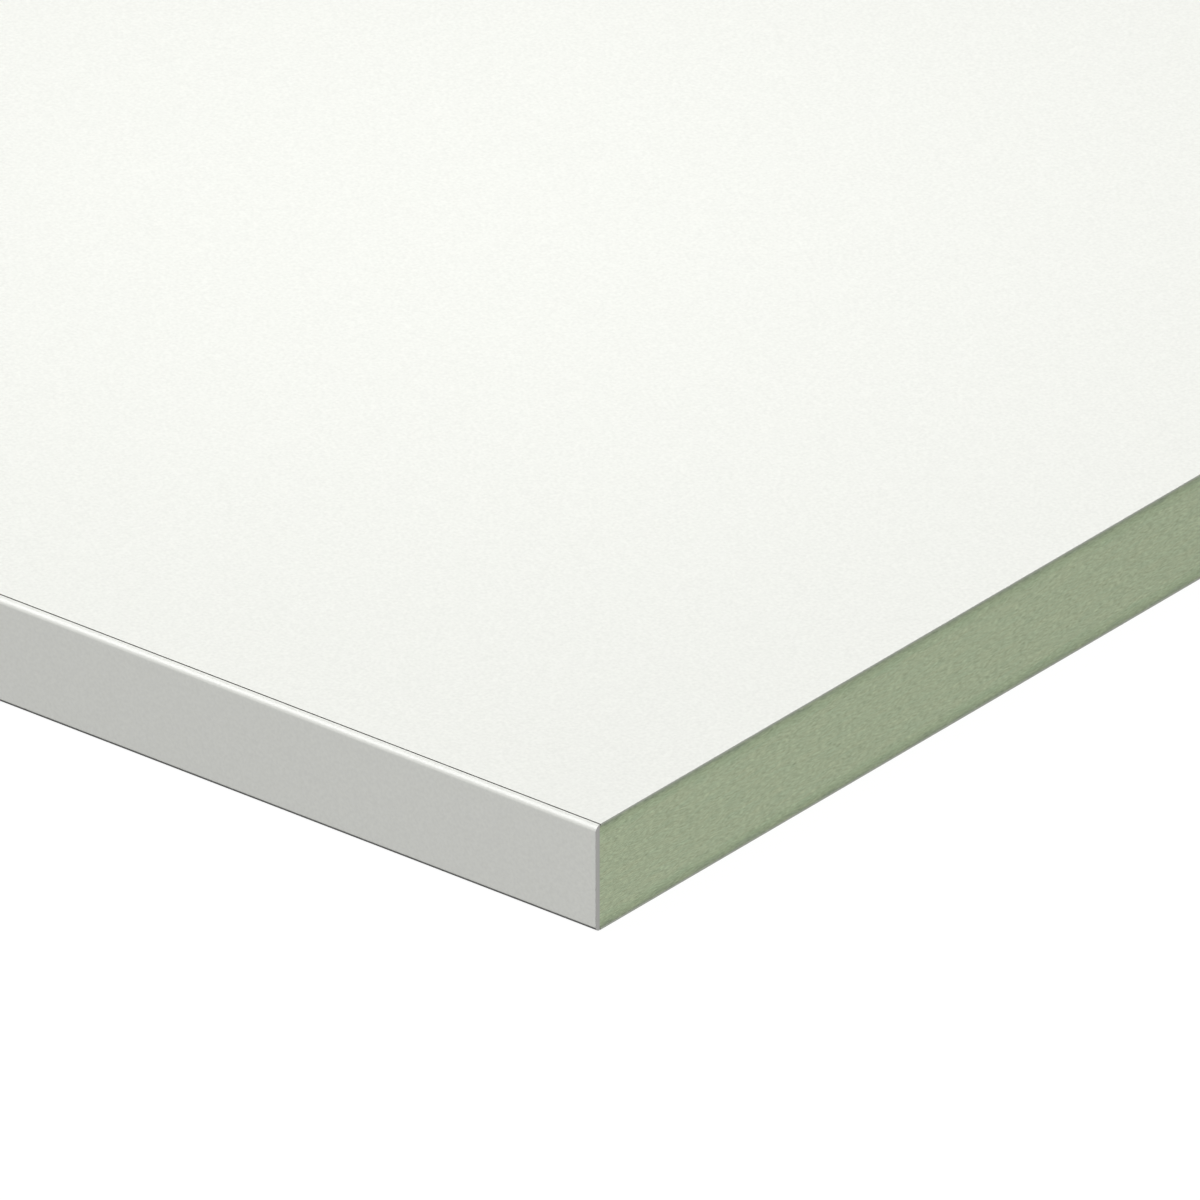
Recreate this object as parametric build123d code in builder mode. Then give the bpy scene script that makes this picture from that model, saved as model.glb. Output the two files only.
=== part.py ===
from build123d import *
import os

# A piece of faced board: a moisture-resistant fibreboard core between two thin
# white laminates, sawn to a shelf size and edged along its front with a plastic
# band. It lies flat. X runs along the banded front, Y goes back across the board
# and Z goes up through the thickness, from the middle of the underside.
# All sizes are millimetres.

# Driving sizes of the board
board_length = 600.0  # along the banded front, sawn end to sawn end
board_width = 300.0  # front of the band to the sawn back
board_thickness = 18.0  # over both laminates

# Driving sizes of the laminates and the band
laminate_thickness = 0.3  # decor sheet pressed on each side of the core
band_thickness = 1.0  # strip glued along the front of the core
band_arris_radius = 0.9  # its upper and lower outer arrises, rounded by trimming
joint_width = 0.2  # scraped line between the band and each laminate

# A trimmed arris always leaves a narrow land of the band beside the joint
largest_arris_share = 0.95
arris_radius = min(band_arris_radius, largest_arris_share * band_thickness)

# Places worked out from the driving sizes
band_front = -board_width / 2
core_front = band_front + band_thickness
laminate_front = core_front + joint_width
board_back = board_width / 2
core_underside = laminate_thickness
core_upside = board_thickness - laminate_thickness
mid_height = board_thickness / 2

# Every section is drawn on the left sawn end and runs the length of the board.
# On this plane the sketch's first axis is Y and its second is Z.
left_end = Plane.YZ.offset(-board_length / 2)

os.makedirs("parts", exist_ok=True)

# Core: one pressed slab of fibre, sawn square on its ends and its back
core_depth = board_back - core_front
with BuildPart() as core:
    with BuildSketch(left_end):
        with Locations((core_front + core_depth / 2, mid_height)):
            Rectangle(core_depth, core_upside - core_underside)
    extrude(amount=board_length)
core.part.label = "mdf_core"

# Upper laminate: flush with the core at its ends and back, short of the band
laminate_depth = board_back - laminate_front
with BuildPart() as top_laminate:
    with BuildSketch(left_end):
        with Locations((laminate_front + laminate_depth / 2, core_upside)):
            Rectangle(laminate_depth, laminate_thickness, align=(Align.CENTER, Align.MIN))
    extrude(amount=board_length)
top_laminate.part.label = "top_laminate"

# Lower laminate: the upper one seen in the board's middle plane
with BuildPart() as bottom_laminate:
    mirror(top_laminate.part, about=Plane.XY.offset(mid_height))
bottom_laminate.part.label = "bottom_laminate"

# Edge band: full height of the board, with both outer arrises trimmed round
with BuildPart() as band:
    with BuildSketch(left_end):
        with Locations((band_front + band_thickness / 2, mid_height)):
            Rectangle(band_thickness, board_thickness)
    extrude(amount=board_length)
    outer_side = band.faces().sort_by(Axis.Y)[0]
    fillet(outer_side.edges().filter_by(Axis.X), arris_radius)
band.part.label = "edge_band"

for piece in (core.part, top_laminate.part, bottom_laminate.part, band.part):
    export_step(piece, f"parts/{piece.label}.step")
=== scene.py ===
import logging
import math
from collections.abc import Callable, Mapping
from dataclasses import dataclass
from enum import Enum

import bmesh
import bpy
from mathutils import Matrix, Vector, noise


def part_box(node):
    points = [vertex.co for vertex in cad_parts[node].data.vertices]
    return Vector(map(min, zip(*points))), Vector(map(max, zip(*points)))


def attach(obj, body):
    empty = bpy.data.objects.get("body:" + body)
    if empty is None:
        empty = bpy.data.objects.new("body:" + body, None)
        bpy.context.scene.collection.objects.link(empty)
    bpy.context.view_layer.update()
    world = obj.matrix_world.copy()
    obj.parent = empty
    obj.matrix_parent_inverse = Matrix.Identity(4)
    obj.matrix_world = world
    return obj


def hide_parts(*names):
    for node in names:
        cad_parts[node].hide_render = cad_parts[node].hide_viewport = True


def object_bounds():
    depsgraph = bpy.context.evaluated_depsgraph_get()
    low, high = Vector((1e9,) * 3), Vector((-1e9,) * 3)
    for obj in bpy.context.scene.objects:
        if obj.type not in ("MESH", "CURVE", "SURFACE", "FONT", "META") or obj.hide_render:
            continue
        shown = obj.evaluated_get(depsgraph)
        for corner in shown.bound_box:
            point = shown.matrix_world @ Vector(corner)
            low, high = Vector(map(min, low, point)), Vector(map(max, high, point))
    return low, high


# A white-faced MDF board with a plastic band along its front edge, dressed around
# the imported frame. It lies on a pale studio floor and is seen from above its near
# corner. X runs along the banded front, Y across the board towards the back and Z
# up through the thickness. Lengths are metres, and MM turns millimetres into them.

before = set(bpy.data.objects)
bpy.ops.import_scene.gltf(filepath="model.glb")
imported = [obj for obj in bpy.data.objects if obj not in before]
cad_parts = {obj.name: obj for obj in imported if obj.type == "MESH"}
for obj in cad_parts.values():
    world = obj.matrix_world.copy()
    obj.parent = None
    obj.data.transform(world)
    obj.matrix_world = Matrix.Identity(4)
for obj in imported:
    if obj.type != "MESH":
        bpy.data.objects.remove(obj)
CAD_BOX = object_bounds()

LOG = logging.getLogger("mdf_board")
MM = 0.001
HAIR = 0.001 * MM  # play for comparing places
BODY = "root"
WHITE = (1.0, 1.0, 1.0, 1.0)
SHARP = math.radians(30.0)  # edges that turn more than this are shaded as sharp

Colour = tuple[float, float, float]
Place = tuple[float, float, float]
Span = tuple[float, float]
UNIT: Span = (0.0, 1.0)
SOFT_NOISE: Span = (0.25, 0.75)  # values of a noise that are spread from 0 to 1, for soft contrast
HARD_NOISE: Span = (0.3, 0.7)  # the same for harder contrast
Socket = bpy.types.NodeSocket
FLOAT = "NodeSocketFloat"
VECTOR = "NodeSocketVector"


class Skin(Enum):
    """Which of a piece's finishes a face wears: its value is the material slot."""

    FACTORY = 0
    SAWN = 1
    GLUED = 2


@dataclass(frozen=True)
class BoardPlan:
    """Places of the board's pieces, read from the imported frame, in metres.

    Attributes:
        low: Lowest corner of the whole board.
        high: Highest corner of the whole board.
        core_low: Lowest corner of the fibre core.
        core_high: Highest corner of the fibre core.
        laminate_front: Where both laminates stop, just behind the band.
    """

    low: Vector
    high: Vector
    core_low: Vector
    core_high: Vector
    laminate_front: float

    @classmethod
    def from_frame(cls) -> "BoardPlan":
        """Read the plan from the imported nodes.

        Returns:
            The places of the four pieces.
        """
        core_low, core_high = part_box("mdf_core")
        laminate_low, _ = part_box("top_laminate")
        return cls(CAD_BOX[0], CAD_BOX[1], core_low, core_high, laminate_low.y)

    @property
    def middle_height(self) -> float:
        """Height of the board's middle plane."""
        return (self.low.z + self.high.z) / 2

    @property
    def near_corner(self) -> Vector:
        """The upper laminate's corner beside the band at the seen sawn end."""
        return Vector((self.high.x, self.laminate_front, self.high.z))


class Graph:
    """A node tree with short calls that add a node and join it up."""

    def __init__(self, tree: bpy.types.NodeTree) -> None:
        """Keep the tree that the calls add to."""
        self.tree = tree

    def node(
        self, kind: str, inputs: Mapping[str | int, object] | None = None, **settings: object
    ) -> bpy.types.Node:
        """Add one node.

        Args:
            kind: The node's type name.
            inputs: Input name or index, with a value or the socket that feeds it.
            **settings: Properties of the node itself.

        Returns:
            The new node.
        """
        made = self.tree.nodes.new(kind)
        for name, value in settings.items():
            setattr(made, name, value)
        for key, value in (inputs or {}).items():
            self.feed(made.inputs[key], value)
        return made

    def feed(self, socket: Socket, value: object) -> None:
        """Set a socket, or join it to another.

        Args:
            socket: The input to fill.
            value: A plain value, or the output socket that feeds it.
        """
        if isinstance(value, bpy.types.NodeSocket):
            self.tree.links.new(value, socket)
        else:
            socket.default_value = value

    def maths(self, operation: str, first: object, second: object = 0.0) -> Socket:
        """Join two numbers by a Math node's operation and return its result."""
        return self.node("ShaderNodeMath", {0: first, 1: second}, operation=operation).outputs[0]

    def remap(self, value: Socket, span: Span, to: Span, kind: str = "LINEAR") -> Socket:
        """Map a value from one span to another, held at both ends.

        Args:
            value: The value to map.
            span: The values that the two ends stand at.
            to: What they become.
            kind: How it runs between the ends.

        Returns:
            The mapped value.
        """
        inputs = {"Value": value, 1: span[0], 2: span[1], 3: to[0], 4: to[1]}
        made = self.node("ShaderNodeMapRange", inputs, interpolation_type=kind, clamp=True)
        return made.outputs["Result"]

    def level(self, share: Socket, first: object, second: object) -> Socket:
        """Mix two numbers, where share from 0 to 1 says how much of the second."""
        made = self.node("ShaderNodeMix", {0: share, 2: first, 3: second}, data_type="FLOAT")
        return made.outputs[0]

    def blend(self, share: object, first: object, second: object, mode: str = "MIX") -> Socket:
        """Mix two colours.

        Args:
            share: How much of the second colour, from 0 to 1.
            first: The first colour or socket.
            second: The second colour or socket.
            mode: The way they are mixed.

        Returns:
            The mixed colour.
        """
        made = self.node("ShaderNodeMix", data_type="RGBA", blend_type=mode, clamp_factor=True)
        colour_inputs = [s for s in made.inputs if s.type == "RGBA"]
        self.feed(made.inputs["Factor"], share)
        self.feed(colour_inputs[0], opaque(first))
        self.feed(colour_inputs[1], opaque(second))
        return next(s for s in made.outputs if s.type == "RGBA")


def opaque(value: object) -> object:
    """Give a plain colour its fourth number, and pass anything else on.

    Args:
        value: Three numbers or a socket.

    Returns:
        Four numbers, or the socket.
    """
    return (*value, 1.0) if isinstance(value, tuple) and len(value) == 3 else value


def new_group(
    name: str, inputs: Mapping[str, tuple[str, object]], outputs: Mapping[str, str]
) -> tuple[Graph, bpy.types.Node, bpy.types.Node]:
    """Start a shader node group with named sockets.

    Args:
        name: The group's name.
        inputs: Each input's name, with its socket type and first value.
        outputs: Each output's name, with its socket type.

    Returns:
        The group's graph, its input node and its output node.
    """
    tree = bpy.data.node_groups.new(name, "ShaderNodeTree")
    for socket_name, (kind, value) in inputs.items():
        made = tree.interface.new_socket(socket_name, in_out="INPUT", socket_type=kind)
        if value is not None:
            made.default_value = value
    for socket_name, kind in outputs.items():
        tree.interface.new_socket(socket_name, in_out="OUTPUT", socket_type=kind)
    graph = Graph(tree)
    return graph, graph.node("NodeGroupInput"), graph.node("NodeGroupOutput")


def build_pearl_grain() -> bpy.types.NodeTree:
    """Make the fine pearl that moulded and pressed white plastic has.

    Returns:
        A group that gives a shade from 0 to 1 and a height.
    """
    graph, given, result = new_group(
        "pearl_grain",
        {
            "Place": (VECTOR, None),
            "Grain Size": (FLOAT, 0.6 * MM),
            "Drift Size": (FLOAT, 4.0 * MM),
        },
        {"Shade": FLOAT, "Height": FLOAT},
    )
    # Turned, so that the noise's own grid doesn't run along the board
    turned = graph.node(
        "ShaderNodeMapping", {"Vector": given.outputs["Place"], "Rotation": (0.5, 0.65, 0.8)}
    ).outputs[0]
    fine_scale = graph.maths("DIVIDE", 1.0, given.outputs["Grain Size"])
    drift_scale = graph.maths("DIVIDE", 1.0, given.outputs["Drift Size"])
    fine = graph.node(
        "ShaderNodeTexNoise",
        {"Vector": turned, "Scale": fine_scale, "Detail": 1.0, "Roughness": 0.4},
    ).outputs[0]
    drift = graph.node(
        "ShaderNodeTexNoise",
        {"Vector": turned, "Scale": drift_scale, "Detail": 2.0, "Roughness": 0.5},
    ).outputs[0]
    fine_share = graph.maths("MULTIPLY", fine, 0.9)
    drift_share = graph.maths("MULTIPLY", drift, 0.1)
    both = graph.maths("ADD", fine_share, drift_share)
    graph.feed(result.inputs["Shade"], graph.remap(both, SOFT_NOISE, UNIT))
    graph.feed(result.inputs["Height"], fine)
    return graph.tree


def build_saw_marks() -> bpy.types.NodeTree:
    """Make the faint upright ridges that a saw leaves on an end.

    Returns:
        A group that gives a mask from 0 to 1, the same all the way up a face.
    """
    graph, given, result = new_group(
        "saw_marks",
        {"Place": (VECTOR, None), "Pitch": (FLOAT, 0.9 * MM)},
        {"Ridge": FLOAT},
    )
    upright = graph.node(
        "ShaderNodeMapping", {"Vector": given.outputs["Place"], "Scale": (1.0, 1.0, 0.04)}
    )
    scale = graph.maths("DIVIDE", 1.0, given.outputs["Pitch"])
    ridge = graph.node(
        "ShaderNodeTexNoise",
        {"Vector": upright.outputs[0], "Scale": scale, "Detail": 2.0, "Roughness": 0.6},
    ).outputs[0]
    graph.feed(result.inputs["Ridge"], graph.remap(ridge, HARD_NOISE, UNIT))
    return graph.tree


def build_pressed_fibre() -> bpy.types.NodeTree:
    """Make the cut fibres of a pressed board, which lie flat in its layers.

    Returns:
        A group that gives light and dark flecks, a soft mottle and a height.
    """
    graph, given, result = new_group(
        "pressed_fibre",
        {
            "Place": (VECTOR, None),
            "Fibre Length": (FLOAT, 1.0 * MM),
            "Bundle Size": (FLOAT, 5.0 * MM),
            "Flatness": (FLOAT, 14.0),
        },
        {"Fleck": FLOAT, "Mottle": FLOAT, "Height": FLOAT},
    )
    # Turned in the board's plane only, so that the layers stay flat
    turned = graph.node(
        "ShaderNodeMapping", {"Vector": given.outputs["Place"], "Rotation": (0.0, 0.0, 0.6)}
    ).outputs[0]
    squeeze = graph.node(
        "ShaderNodeCombineXYZ", {"X": 1.0, "Y": 1.0, "Z": given.outputs["Flatness"]}
    )
    layered = graph.node(
        "ShaderNodeVectorMath", {0: turned, 1: squeeze.outputs[0]}, operation="MULTIPLY"
    ).outputs[0]
    scale = graph.maths("DIVIDE", 1.0, given.outputs["Fibre Length"])
    fleck = graph.node(
        "ShaderNodeTexNoise",
        {"Vector": layered, "Scale": scale, "Detail": 3.0, "Roughness": 0.6},
    ).outputs[0]
    bundle_scale = graph.maths("DIVIDE", 1.0, given.outputs["Bundle Size"])
    bundles = graph.node(
        "ShaderNodeTexNoise",
        {"Vector": layered, "Scale": bundle_scale, "Detail": 2.0, "Roughness": 0.5},
    ).outputs[0]
    graph.feed(result.inputs["Fleck"], graph.remap(fleck, SOFT_NOISE, UNIT))
    graph.feed(result.inputs["Mottle"], graph.remap(bundles, HARD_NOISE, UNIT))
    graph.feed(result.inputs["Height"], fleck)
    return graph.tree


@dataclass(frozen=True)
class Effects:
    """The node groups that more than one finish shares.

    Attributes:
        pearl: Fine pearl of white plastic.
        saw: Ridges of the saw.
        fibre: Cut fibres of the core.
    """

    pearl: bpy.types.NodeTree
    saw: bpy.types.NodeTree
    fibre: bpy.types.NodeTree

    @classmethod
    def build(cls) -> "Effects":
        """Build every shared group once."""
        return cls(build_pearl_grain(), build_saw_marks(), build_pressed_fibre())


def new_material(name: str) -> tuple[bpy.types.Material, Graph, bpy.types.Node, Socket]:
    """Start a material with a Principled shader.

    Args:
        name: The material's name.

    Returns:
        The material, its graph, its shader and its Object coordinates.
    """
    material = bpy.data.materials.new(name)
    material.use_nodes = True
    graph = Graph(material.node_tree)
    shader = next(n for n in graph.tree.nodes if n.type == "BSDF_PRINCIPLED")
    place = graph.node("ShaderNodeTexCoord").outputs["Object"]
    return material, graph, shader, place


def use_group(
    graph: Graph, tree: bpy.types.NodeTree, place: Socket, **values: float
) -> bpy.types.Node:
    """Place a shared group in a material.

    Args:
        graph: The material's graph.
        tree: The shared group.
        place: The coordinates that it follows.
        **values: Its other inputs, with _ for a space.

    Returns:
        The group's node.
    """
    made = graph.node("ShaderNodeGroup", node_tree=tree)
    graph.feed(made.inputs["Place"], place)
    for name, value in values.items():
        graph.feed(made.inputs[name.replace("_", " ").title()], value)
    return made


@dataclass(frozen=True)
class WhitePlasticFinish:
    """Warm white plastic with a fine pearl, for the laminates and the band.

    Attributes:
        name: The material's name.
        light: Its colour where the pearl is lightest.
        dark: Its colour where the pearl is darkest.
        roughness: Least and most roughness.
        grain: Size of the pearl, in metres.
        relief: Depth of the pearl, in metres.
        shine: Its specular level, where 0.5 is plain plastic.
        foot_shade: Colour of the shade painted on its foot, or None if it has none.
        foot_shade_height: Heights where the painted shade starts to thin out and ends, in metres.
        foot_shade_roughness: Roughness where the shade is painted.
    """

    name: str
    light: Colour
    dark: Colour
    roughness: Span
    grain: float
    relief: float
    shine: float = 0.5
    foot_shade: Colour | None = None
    foot_shade_height: Span = (0.7 * MM, 0.88 * MM)
    foot_shade_roughness: float = 1.0

    def material(self, effects: Effects) -> bpy.types.Material:
        """Make the finish.

        Args:
            effects: The shared groups.

        Returns:
            The material.
        """
        material, graph, shader, place = new_material(self.name)
        pearl = use_group(graph, effects.pearl, place, grain_size=self.grain)
        colour = graph.blend(pearl.outputs["Shade"], self.dark, self.light)
        roughness = graph.remap(pearl.outputs["Shade"], UNIT, self.roughness)
        bump = graph.node(
            "ShaderNodeBump", {"Height": pearl.outputs["Height"], "Distance": self.relief}
        )
        shader.inputs["Specular IOR Level"].default_value = self.shine
        # Painted shade: the foot is darkened and dulled from the given height down towards the
        # floor
        if self.foot_shade:
            height = graph.node("ShaderNodeSeparateXYZ", {0: place}).outputs["Z"]
            shaded_foot = graph.remap(height, self.foot_shade_height, (1.0, 0.0), "SMOOTHSTEP")
            colour = graph.blend(shaded_foot, colour, self.foot_shade)
            roughness = graph.level(shaded_foot, roughness, self.foot_shade_roughness)
        graph.feed(shader.inputs["Base Color"], colour)
        graph.feed(shader.inputs["Roughness"], roughness)
        graph.feed(shader.inputs["Normal"], bump.outputs["Normal"])
        return material


@dataclass(frozen=True)
class SawnPlasticFinish:
    """Grey, dull section that the saw leaves across the laminates and the band; on the band the
    grey is partly painted shade on its sawn ends.

    Attributes:
        name: The material's name.
        light: Its lightest grey.
        dark: Its darkest grey.
        roughness: Least and most roughness.
        relief: Depth of the saw's ridges, in metres.
        pitch: Spacing of the saw's ridges, in metres.
    """

    name: str
    light: Colour
    dark: Colour
    roughness: Span = (0.5, 0.62)
    relief: float = 0.004 * MM
    pitch: float = 0.6 * MM

    def material(self, effects: Effects) -> bpy.types.Material:
        """Make the finish.

        Args:
            effects: The shared groups.

        Returns:
            The material.
        """
        material, graph, shader, place = new_material(self.name)
        saw = use_group(graph, effects.saw, place, pitch=self.pitch)
        ridge = saw.outputs["Ridge"]
        bump = graph.node("ShaderNodeBump", {"Height": ridge, "Distance": self.relief})
        graph.feed(shader.inputs["Base Color"], graph.blend(ridge, self.dark, self.light))
        graph.feed(shader.inputs["Roughness"], graph.remap(ridge, UNIT, self.roughness))
        graph.feed(shader.inputs["Normal"], bump.outputs["Normal"])
        return material


@dataclass(frozen=True)
class GlueLineFinish:
    """Dark, dull film of glue in the joint between the band and a laminate.

    Attributes:
        name: The material's name.
        colour: Its colour.
        roughness: Its roughness.
    """

    name: str = "glue_line"
    colour: Colour = (0.06, 0.056, 0.05)
    roughness: float = 0.8

    def material(self) -> bpy.types.Material:
        """Make the finish.

        Returns:
            The material.
        """
        material, _, shader, _ = new_material(self.name)
        shader.inputs["Base Color"].default_value = opaque(self.colour)
        shader.inputs["Roughness"].default_value = self.roughness
        return material


@dataclass(frozen=True)
class SawnFibreFinish:
    """Pale green sawn fibre, denser and darker towards the board's faces.

    Attributes:
        plan: The board's places.
        name: The material's name.
        hard_skin: Colour right beside a laminate.
        olive_layer: Colour of the greener layer under the hard skin.
        pale_layer: Colour of the layer before the open middle.
        open_fibre: Colour of the open middle of the board.
        olive_depth: How deep the olive layer lies, in metres.
        pale_depth: How deep the pale layer lies, in metres.
        open_depth: How deep the open middle begins, in metres.
        wander: How far the layers wander up and down, in metres.
        warm: Tint of the yellower bundles.
        cool: Tint of the bluer bundles.
        fleck: Shade of the darkest and of the lightest fibres.
        roughness: Roughness of the same two.
        relief: Depth between the fibres, in metres.
        shine: Its specular level, where 0.5 is plain plastic.
    """

    plan: BoardPlan
    name: str = "sawn_green_fibre"
    hard_skin: Colour = (0.28, 0.32, 0.232)
    olive_layer: Colour = (0.343, 0.410, 0.268)
    pale_layer: Colour = (0.384, 0.460, 0.305)
    open_fibre: Colour = (0.415, 0.479, 0.325)
    olive_depth: float = 0.75 * MM
    pale_depth: float = 1.4 * MM
    open_depth: float = 2.5 * MM
    wander: float = 0.6 * MM
    warm: Colour = (1.025, 1.0, 0.99)
    cool: Colour = (0.97, 1.0, 1.005)
    fleck: Span = (0.56, 1.44)
    roughness: Span = (0.85, 0.97)
    relief: float = 0.02 * MM
    shine: float = 0.2

    def material(self, effects: Effects) -> bpy.types.Material:
        """Make the finish.

        Args:
            effects: The shared groups.

        Returns:
            The material.
        """
        material, graph, shader, place = new_material(self.name)
        down = (0.0, 0.0, -self.plan.middle_height)
        centred = graph.node("ShaderNodeMapping", {"Vector": place, "Location": down})
        height = graph.node("ShaderNodeSeparateXYZ", {0: centred.outputs[0]}).outputs["Z"]
        half = (self.plan.core_high.z - self.plan.core_low.z) / 2
        depth = graph.maths("SUBTRACT", half, graph.maths("ABSOLUTE", height))
        fibre = use_group(graph, effects.fibre, centred.outputs[0])
        to_and_fro = graph.maths("SUBTRACT", fibre.outputs["Mottle"], 0.5)
        wander = graph.maths("MULTIPLY", to_and_fro, self.wander)
        share = graph.maths("DIVIDE", graph.maths("ADD", depth, wander), self.open_depth)
        layer = graph.node("ShaderNodeValToRGB", {0: share})
        stops = layer.color_ramp.elements
        stops[0].color = opaque(self.hard_skin)
        stops[1].color = opaque(self.open_fibre)
        stops.new(self.olive_depth / self.open_depth).color = opaque(self.olive_layer)
        stops.new(self.pale_depth / self.open_depth).color = opaque(self.pale_layer)
        tint = graph.blend(fibre.outputs["Mottle"], self.cool, self.warm)
        tinted = graph.blend(1.0, layer.outputs[0], tint, "MULTIPLY")
        fleck = graph.remap(fibre.outputs["Fleck"], UNIT, self.fleck)
        roughness = graph.remap(fibre.outputs["Fleck"], UNIT, self.roughness)
        shaded = graph.node(
            "ShaderNodeVectorMath", {0: tinted, 3: fleck}, operation="SCALE"
        ).outputs[0]
        bump = graph.node(
            "ShaderNodeBump", {"Height": fibre.outputs["Height"], "Distance": self.relief}
        )
        graph.feed(shader.inputs["Base Color"], shaded)
        graph.feed(shader.inputs["Roughness"], roughness)
        graph.feed(shader.inputs["Normal"], bump.outputs["Normal"])
        shader.inputs["Specular IOR Level"].default_value = self.shine
        return material


def finished_object(
    name: str, mesh: bmesh.types.BMesh, materials: list[bpy.types.Material]
) -> bpy.types.Object:
    """Turn a finished bmesh into a piece at the origin.

    Args:
        name: The piece's name.
        mesh: Its shape, which is freed.
        materials: Its materials, in slot order.

    Returns:
        The piece, riding on the board.
    """
    bmesh.ops.recalc_face_normals(mesh, faces=mesh.faces)
    data = bpy.data.meshes.new(name)
    mesh.to_mesh(data)
    mesh.free()
    for material in materials:
        data.materials.append(material)
    piece = bpy.data.objects.new(name, data)
    bpy.context.scene.collection.objects.link(piece)
    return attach(piece, BODY)


def block(low: Vector, high: Vector) -> bmesh.types.BMesh:
    """Start a bmesh as a box between two corners.

    Args:
        low: Lowest corner.
        high: Highest corner.

    Returns:
        The box.
    """
    mesh = bmesh.new()
    size = high - low
    place = Matrix.Translation((low + high) / 2) @ Matrix.Diagonal((*size, 1.0))
    bmesh.ops.create_cube(mesh, size=1.0, matrix=place)
    return mesh


def wear(
    mesh: bmesh.types.BMesh, edges: list[bmesh.types.BMEdge], radius: float, segments: int
) -> None:
    """Round some edges.

    Args:
        mesh: The bmesh that they are in.
        edges: The edges to round.
        radius: How far the rounding reaches, in metres.
        segments: How many facets it has.
    """
    bmesh.ops.bevel(
        mesh,
        geom=edges,
        offset=radius,
        offset_type="OFFSET",
        segments=segments,
        profile=0.5,
        affect="EDGES",
        clamp_overlap=True,
        material=-1,
    )


def paint(mesh: bmesh.types.BMesh, skin_of: Callable[[bmesh.types.BMFace], Skin]) -> None:
    """Give each face its finish.

    Args:
        mesh: The piece's bmesh.
        skin_of: Says which finish a face wears.
    """
    for face in mesh.faces:
        face.material_index = skin_of(face).value


@dataclass
class CoreSlab:
    """The pressed fibre slab, with the saw's relief on its ends and its back.

    Attributes:
        plan: The board's places.
        cell: Spacing of the relief along the sawn faces, in metres.
        layers: How many cells the relief has up the thickness.
        relief: Deepest place of the relief, in metres.
        lump: Size of the relief's lumps, in metres.
    """

    plan: BoardPlan
    cell: float = 1.5 * MM
    layers: int = 24
    relief: float = 0.03 * MM
    lump: float = 2.5 * MM

    def build(self, finish: bpy.types.Material) -> bpy.types.Object:
        """Build the slab.

        Args:
            finish: The sawn fibre.

        Returns:
            The piece.
        """
        low, high = self.plan.core_low, self.plan.core_high
        mesh = bmesh.new()
        plan_corners = ((low.x, low.y), (high.x, low.y), (high.x, high.y), (low.x, high.y))
        mesh.faces.new([mesh.verts.new((x, y, low.z)) for x, y in plan_corners])
        for side in list(mesh.edges):
            if max(v.co.y for v in side.verts) > low.y:
                cuts = round(side.calc_length() / self.cell) - 1
                bmesh.ops.subdivide_edges(mesh, edges=[side], cuts=cuts)
        underside = list(mesh.faces)
        raised = bmesh.ops.extrude_face_region(mesh, geom=underside, use_keep_orig=True)
        top = [v for v in raised["geom"] if isinstance(v, bmesh.types.BMVert)]
        bmesh.ops.translate(mesh, verts=top, vec=(0.0, 0.0, high.z - low.z))
        uprights = [e for e in mesh.edges if abs(e.verts[0].co.z - e.verts[1].co.z) > HAIR]
        bmesh.ops.subdivide_edges(mesh, edges=uprights, cuts=self.layers - 1)
        for vert in mesh.verts:
            self.press_in(vert)
        mesh.normal_update()
        for face in mesh.faces:
            face.smooth = len(face.verts) == 4
        for edge in mesh.edges:
            edge.smooth = edge.calc_face_angle(0.0) < SHARP
        return finished_object("sawn_core", mesh, [finish])

    def press_in(self, vert: bmesh.types.BMVert) -> None:
        """Push a point of a sawn face in by the relief there.

        Args:
            vert: A point of the slab.
        """
        high = self.plan.core_high
        lumps = noise.noise(vert.co / self.lump)
        depth = self.relief * (0.5 + 0.5 * lumps)
        if vert.co.y > high.y - HAIR:
            vert.co.y = high.y - depth
        if abs(vert.co.x) > high.x - HAIR:
            vert.co.x = math.copysign(high.x - depth, vert.co.x)


@dataclass
class Laminates:
    """The two white decor sheets pressed onto the core.

    Attributes:
        arris: Rounding of their outer arrises, in metres.
        arris_facets: How many facets the rounding has.
    """

    arris: float = 0.04 * MM
    arris_facets: int = 2

    def build(
        self, node: str, outward: float, finishes: list[bpy.types.Material]
    ) -> bpy.types.Object:
        """Build one sheet.

        Args:
            node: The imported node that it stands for.
            outward: 1 if its outer side faces up, and -1 if it faces down.
            finishes: Its finishes in the order of Skin.

        Returns:
            The piece.
        """
        mesh = block(*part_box(node))
        outer = [f for f in mesh.faces if f.normal.z * outward > 0.5]
        wear(mesh, [e for f in outer for e in f.edges], self.arris, self.arris_facets)
        mesh.normal_update()
        paint(mesh, self.skin_of)
        return finished_object(f"{node}_sheet", mesh, finishes)

    @staticmethod
    def skin_of(face: bmesh.types.BMFace) -> Skin:
        """Say which finish a face of a sheet wears.

        Args:
            face: A face of the sheet.

        Returns:
            Its finish: factory on the two sides, glue on the edge beside the band, and sawn
            elsewhere.
        """
        if abs(face.normal.z) > 0.5:
            return Skin.FACTORY
        return Skin.GLUED if face.normal.y < -0.5 else Skin.SAWN


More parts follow.
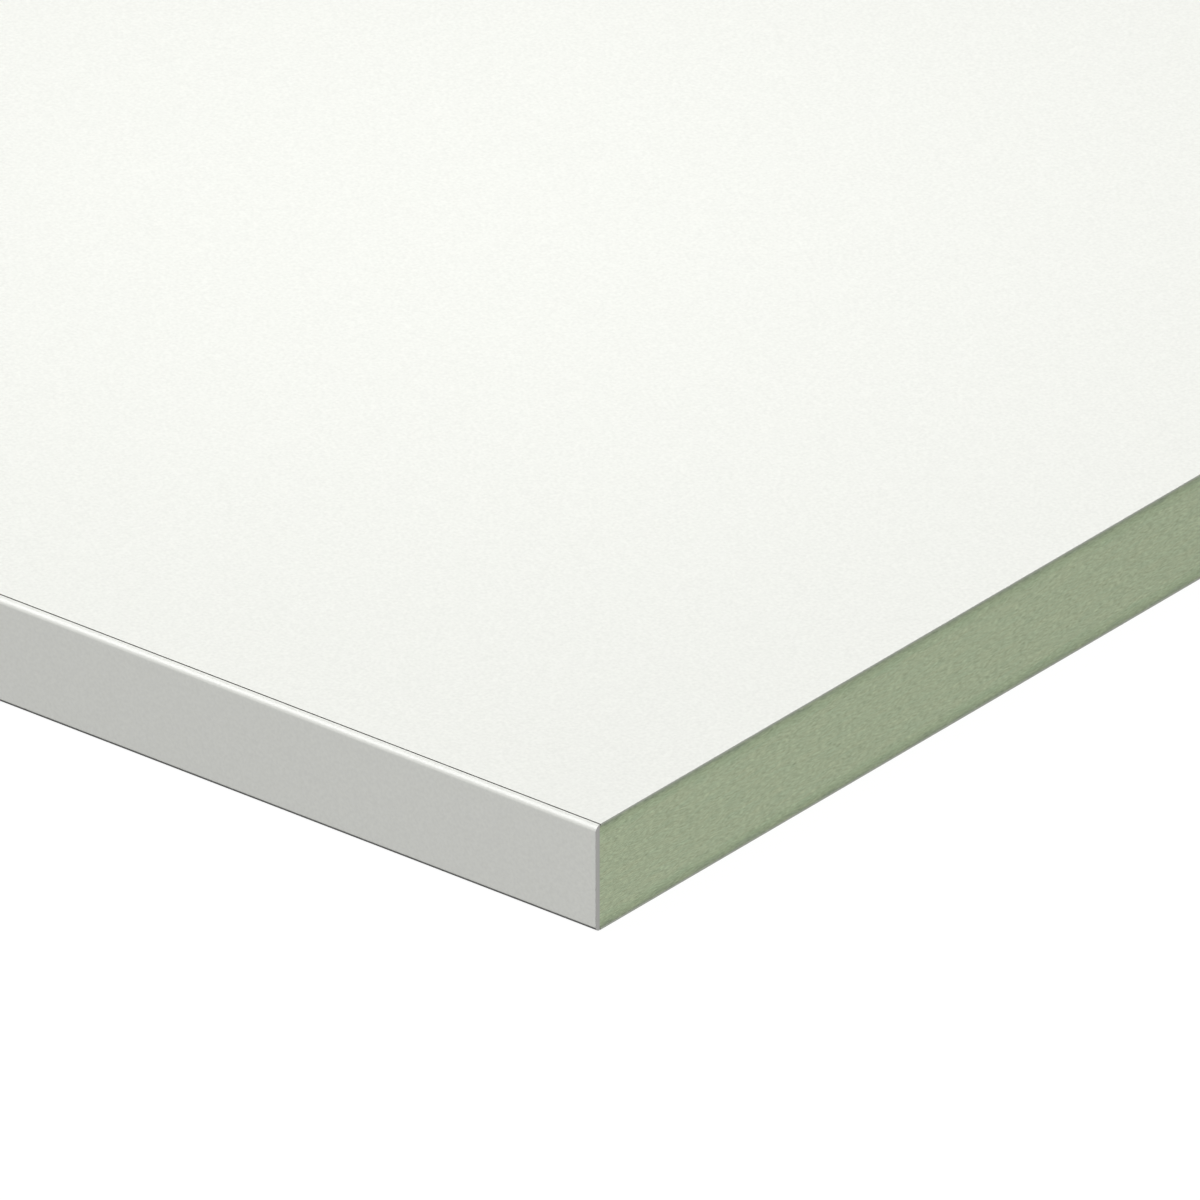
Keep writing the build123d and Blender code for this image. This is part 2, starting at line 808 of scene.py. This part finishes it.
@dataclass
class EdgeBand:
    """The plastic strip along the front, trimmed round above and below.

    Attributes:
        plan: The board's places.
        trim_radius: How far the two outer arrises reach back from the front, in metres.
        trim_facets: How many facets each has.
        upper_height: Height of the upper arris, in metres.
        upper_slopes: Its slope where it starts at the top and where it meets the front, in
            degrees.
        trim_rise: How far the strip's foot is trimmed above the underside, in metres.
        glue_width: Width of the glue left on it beside the joints, in metres.
    """

    plan: BoardPlan
    trim_radius: float = 0.97 * MM
    trim_facets: int = 16
    upper_height: float = 0.89 * MM
    upper_slopes: Span = (19.0, 74.0)
    trim_rise: float = 0.06 * MM
    glue_width: float = 0.05 * MM

    def build(self, finishes: list[bpy.types.Material]) -> bpy.types.Object:
        """Build the strip.

        Args:
            finishes: Its finishes in the order of Skin.

        Returns:
            The piece.
        """
        low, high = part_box("edge_band")
        low = low + Vector((0.0, 0.0, self.trim_rise))
        mesh = block(low, high)
        lengthwise = [e for e in mesh.edges if abs(e.verts[0].co.x - e.verts[1].co.x) > HAIR]
        outer = [e for e in lengthwise if max(v.co.y for v in e.verts) < low.y + HAIR]
        wear(mesh, outer, self.trim_radius, self.trim_facets)
        reach = self.trim_radius + HAIR
        for vert in mesh.verts:
            if vert.co.z > high.z - reach and vert.co.y < low.y + reach:
                self.trim_upper(vert, low.y, high.z)
        glue_front = (0.0, high.y - self.glue_width, 0.0)
        everything = [*mesh.verts, *mesh.edges, *mesh.faces]
        bmesh.ops.bisect_plane(
            mesh, geom=everything, plane_co=glue_front, plane_no=(0.0, 1.0, 0.0)
        )
        mesh.normal_update()
        paint(mesh, self.skin_of)
        for face in mesh.faces:
            face.smooth = abs(face.normal.x) < 0.5
        for edge in mesh.edges:
            runs_lengthwise = all(face.smooth for face in edge.link_faces)
            edge.smooth = runs_lengthwise and edge.calc_face_angle(0.0) < SHARP
        piece = finished_object("front_band", mesh, finishes)
        flat_faces = piece.modifiers.new("flat_faces", "WEIGHTED_NORMAL")
        flat_faces.mode = "FACE_AREA"
        flat_faces.keep_sharp = True
        return piece

    def trim_upper(self, vert: bmesh.types.BMVert, front: float, top: float) -> None:
        """Move a point of the upper arris from a quarter circle to a flatter arc.

        Args:
            vert: A point of the quarter circle.
            front: Where the strip's front lies, in metres.
            top: Height of the strip's top, in metres.
        """
        below = 1.0 - (top - vert.co.z) / self.trim_radius
        turned = math.acos(min(max(below, 0.0), 1.0)) / math.radians(90.0)
        first, last = (math.radians(slope) for slope in self.upper_slopes)
        slope = first + (last - first) * turned
        outward = (math.sin(slope) - math.sin(first)) / (math.sin(last) - math.sin(first))
        downward = (math.cos(first) - math.cos(slope)) / (math.cos(first) - math.cos(last))
        vert.co.y = front + self.trim_radius * (1.0 - outward)
        vert.co.z = top - self.upper_height * downward

    def skin_of(self, face: bmesh.types.BMFace) -> Skin:
        """Say which finish a face of the strip wears.

        Args:
            face: A face of the strip.

        Returns:
            Its finish: sawn on the ends, glue on the side that meets the core and right beside the
            joints, and factory on the rest.
        """
        if abs(face.normal.x) > 0.5:
            return Skin.SAWN
        beside_joint = face.calc_center_median().y > self.plan.core_low.y - self.glue_width
        return Skin.GLUED if beside_joint else Skin.FACTORY


@dataclass(frozen=True)
class Softbox:
    """A rectangular studio lamp.

    Attributes:
        name: The lamp's name.
        centre: Where it hangs, in metres.
        target: The point that it faces.
        width: Its width, in metres.
        height: Its height, in metres.
        radiance: How bright its face is, where white paper in full light is 1.
    """

    name: str
    centre: Place
    target: Place
    width: float
    height: float
    radiance: float

    def hang(self) -> None:
        """Add the lamp to the scene."""
        lamp = bpy.data.lights.new(self.name, "AREA")
        lamp.shape = "RECTANGLE"
        lamp.size = self.width
        lamp.size_y = self.height
        lamp.energy = self.radiance * math.pi * self.width * self.height
        lamp_object = bpy.data.objects.new(self.name, lamp)
        away = Vector(self.centre) - Vector(self.target)
        lamp_object.location = self.centre
        lamp_object.rotation_euler = away.to_track_quat("Z", "Y").to_euler()
        lamp_object.visible_camera = False
        bpy.context.scene.collection.objects.link(lamp_object)


@dataclass
class Studio:
    """Pale floor with a painted pool of light round the near corner, plain sky and softboxes.

    Attributes:
        floor_radius: Radius of the floor, in metres.
        floor_sides: How many sides its round has.
        floor_roughness: Its roughness.
        floor_bounce: What it gives back to the board, low so that the board's foot stays in
            shade.
        light_pool_shade: What it gives back to the camera in the painted pool of light at the near
            corner.
        light_pool_glow: Strength added to it there, which paints the pool of light.
        light_pool_span: How far from the near corner the painted pool of light starts and stops to
            fade, in metres.
        near_shade: What it gives back to the camera elsewhere beside the board.
        near_glow: Strength added to it there.
        near_span: How far from the board's middle its shadows start and stop to fade, in metres.
        backdrop: Strength of the far floor and of the sky, as the camera sees them.
        sky: Strength of the plain light from all round.
        lamps: The softboxes.
    """

    floor_radius: float = 4.0
    floor_sides: int = 96
    floor_roughness: float = 0.9
    floor_bounce: float = 0.03
    light_pool_shade: float = 0.12
    light_pool_glow: float = 0.945
    light_pool_span: Span = (0.16, 0.5)
    near_shade: float = 0.25
    near_glow: float = 0.56
    near_span: Span = (0.4, 1.0)
    backdrop: float = 0.78
    sky: float = 0.304
    lamps: tuple[Softbox, ...] = (
        Softbox(
            name="overhead_softbox",
            centre=(0.156, -0.015, 0.231),
            target=(0.156, -0.015, 0.0),
            width=0.163,
            height=0.163,
            radiance=1.009,
        ),
        Softbox(
            name="key_softbox",
            centre=(-1.141, -1.142, 1.712),
            target=(0.24, -0.15, 0.018),
            width=1.199,
            height=1.199,
            radiance=6.334,
        ),
        Softbox(
            name="right_fill",
            centre=(2.998, -1.157, 0.25),
            target=(0.3, -0.08, 0.0),
            width=1.3,
            height=0.43,
            radiance=31.26,
        ),
        Softbox(
            name="back_fill",
            centre=(0.028, 1.527, 1.522),
            target=(0.0, 0.1, 0.0),
            width=1.6,
            height=0.8,
            radiance=4.25,
        ),
        Softbox(
            name="left_fill",
            centre=(-1.8, 0.2, 1.304),
            target=(-0.3, 0.0, 0.0),
            width=1.2,
            height=0.8,
            radiance=0.919,
        ),
    )

    def build(self, corner: Vector) -> None:
        """Build the floor, the sky and the lamps.

        Args:
            corner: The board's near corner, which lies in the floor's painted pool of light.
        """
        self.lay_floor(corner)
        self.light_sky()
        for lamp in self.lamps:
            lamp.hang()

    def seen_mask(self, graph: Graph) -> Socket:
        """Tell rays that show the background from rays that light the board.

        Args:
            graph: The graph to add to.

        Returns:
            1 for camera, glossy and transmission rays, and 0 for the rest.
        """
        path = graph.node("ShaderNodeLightPath")
        seen = graph.maths("MAXIMUM", path.outputs["Is Camera Ray"], path.outputs["Is Glossy Ray"])
        return graph.maths("MAXIMUM", seen, path.outputs["Is Transmission Ray"])

    def lay_floor(self, corner: Vector) -> None:
        """Lay the floor that the board lies on.

        Args:
            corner: The board's near corner, round which the pool of light is painted.
        """
        mesh = bmesh.new()
        bmesh.ops.create_circle(
            mesh, cap_ends=True, radius=self.floor_radius, segments=self.floor_sides
        )
        data = bpy.data.meshes.new("studio_floor")
        mesh.to_mesh(data)
        mesh.free()
        material, graph, shader, place = new_material("pale_floor")
        away = graph.node("ShaderNodeVectorMath", {0: place}, operation="LENGTH").outputs["Value"]
        foot = (corner.x, corner.y, 0.0)
        from_corner = graph.node(
            "ShaderNodeVectorMath", {0: place, 1: foot}, operation="DISTANCE"
        ).outputs["Value"]
        # Painted pool of light: round the near corner the floor glows brighter than elsewhere
        light_pool = graph.remap(from_corner, self.light_pool_span, (1.0, 0.0), "SMOOTHSTEP")
        beside = graph.remap(away, self.near_span, (1.0, 0.0), "SMOOTHSTEP")
        glow_beside = graph.level(beside, self.backdrop, self.near_glow)
        shade_beside = graph.level(beside, 0.0, self.near_shade)
        glow = graph.level(light_pool, glow_beside, self.light_pool_glow)
        shade = graph.level(light_pool, shade_beside, self.light_pool_shade)
        lights_board = graph.node("ShaderNodeLightPath").outputs["Is Diffuse Ray"]
        grey = graph.level(lights_board, shade, self.floor_bounce)
        colour = graph.node("ShaderNodeCombineXYZ", {0: grey, 1: grey, 2: grey}).outputs[0]
        graph.feed(shader.inputs["Base Color"], colour)
        shader.inputs["Roughness"].default_value = self.floor_roughness
        shader.inputs["Specular IOR Level"].default_value = 0.0
        shader.inputs["Emission Color"].default_value = WHITE
        shown = graph.maths("MULTIPLY", self.seen_mask(graph), glow)
        graph.feed(shader.inputs["Emission Strength"], shown)
        data.materials.append(material)
        floor = bpy.data.objects.new("studio_floor", data)
        bpy.context.scene.collection.objects.link(floor)

    def light_sky(self) -> None:
        """Light the board from all round, and show the pale backdrop behind it."""
        world = bpy.data.worlds.new("studio_sky")
        world.use_nodes = True
        bpy.context.scene.world = world
        graph = Graph(world.node_tree)
        graph.tree.nodes.clear()
        light, shown = (
            graph.node("ShaderNodeBackground", {"Color": WHITE, "Strength": strength}).outputs[0]
            for strength in (self.sky, self.backdrop)
        )
        mix = graph.node("ShaderNodeMixShader", {0: self.seen_mask(graph), 1: light, 2: shown})
        graph.node("ShaderNodeOutputWorld", {"Surface": mix.outputs[0]})


@dataclass
class Viewpoint:
    """The long-lens camera that looks down on the board's near corner.

    Attributes:
        azimuth: Angle round the board from straight in front, in degrees.
        elevation: Angle above the floor, in degrees.
        lens: Focal length, in millimetres, long so that parallel edges stay so.
        sensor: Width of the sensor, in millimetres.
        picture: Side of the square picture, in pixels.
        pixels_per_mm: Scale at the near corner.
        corner_pixel: Where the near corner lies, from the picture's upper left corner.
    """

    azimuth: float = 39.03
    elevation: float = 27.965
    lens: float = 1600.0
    sensor: float = 36.0
    picture: float = 1200.0
    pixels_per_mm: float = 6.699
    corner_pixel: tuple[float, float] = (600.54, 823.79)

    def build(self, corner: Vector) -> None:
        """Place the camera.

        Args:
            corner: The board's near corner.
        """
        camera = bpy.data.cameras.new("photo_camera")
        camera.lens = self.lens
        camera.sensor_width = self.sensor
        turn, rise = math.radians(self.azimuth), math.radians(self.elevation)
        back = Vector(
            (math.sin(turn) * math.cos(rise), -math.cos(turn) * math.cos(rise), math.sin(rise))
        )
        right = Vector((math.cos(turn), math.sin(turn), 0.0))
        up = back.cross(right)
        per_pixel = MM / self.pixels_per_mm
        distance = self.picture * per_pixel * self.lens / self.sensor
        across = (self.picture / 2 - self.corner_pixel[0]) * per_pixel
        upwards = (self.corner_pixel[1] - self.picture / 2) * per_pixel
        centre = corner + right * across + up * upwards
        camera_object = bpy.data.objects.new("photo_camera", camera)
        camera_object.location = centre + back * distance
        camera_object.rotation_euler = back.to_track_quat("Z", "Y").to_euler()
        bpy.context.scene.collection.objects.link(camera_object)
        bpy.context.scene.camera = camera_object


def main() -> None:
    """Dress the board, light it and place the camera."""
    logging.basicConfig(level=logging.INFO, format="%(name)s: %(message)s")
    bpy.context.scene.view_settings.view_transform = "Standard"
    plan = BoardPlan.from_frame()
    effects = Effects.build()
    laminate_white = WhitePlasticFinish(
        name="white_laminate",
        light=(0.91, 0.92, 0.871),
        dark=(0.825, 0.835, 0.789),
        roughness=(0.36, 0.46),
        grain=0.52 * MM,
        relief=0.004 * MM,
    ).material(effects)
    band_white = WhitePlasticFinish(
        name="white_band",
        light=(0.886, 0.896, 0.847),
        dark=(0.820, 0.829, 0.784),
        roughness=(0.29, 0.31),
        grain=0.55 * MM,
        relief=0.0015 * MM,
        shine=0.62,
        # Painted shade along the band's foot, beside the floor
        foot_shade=(0.19, 0.19, 0.185),
    ).material(effects)
    laminate_section = SawnPlasticFinish(
        name="laminate_section", light=(0.352, 0.371, 0.32), dark=(0.322, 0.341, 0.293)
    ).material(effects)
    # The band's sawn ends: grey partly for the dull cut and partly as painted shade
    shaded_band_section = SawnPlasticFinish(
        name="shaded_band_section", light=(0.387, 0.387, 0.372), dark=(0.357, 0.357, 0.342)
    ).material(effects)
    glue = GlueLineFinish().material()
    fibre = SawnFibreFinish(plan).material(effects)

    core = CoreSlab(plan).build(fibre)
    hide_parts("mdf_core")
    laminates = Laminates()
    for node, outward in (("top_laminate", 1.0), ("bottom_laminate", -1.0)):
        sheet = laminates.build(node, outward, [laminate_white, laminate_section, glue])
        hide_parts(node)
        LOG.info("%s covers the core", sheet.name)
    band = EdgeBand(plan).build([band_white, shaded_band_section, glue])
    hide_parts("edge_band")
    for piece in (core, band):
        LOG.info("%s has %d faces", piece.name, len(piece.data.polygons))

    Studio().build(plan.near_corner)
    Viewpoint().build(plan.near_corner)


if __name__ == "__main__":
    main()
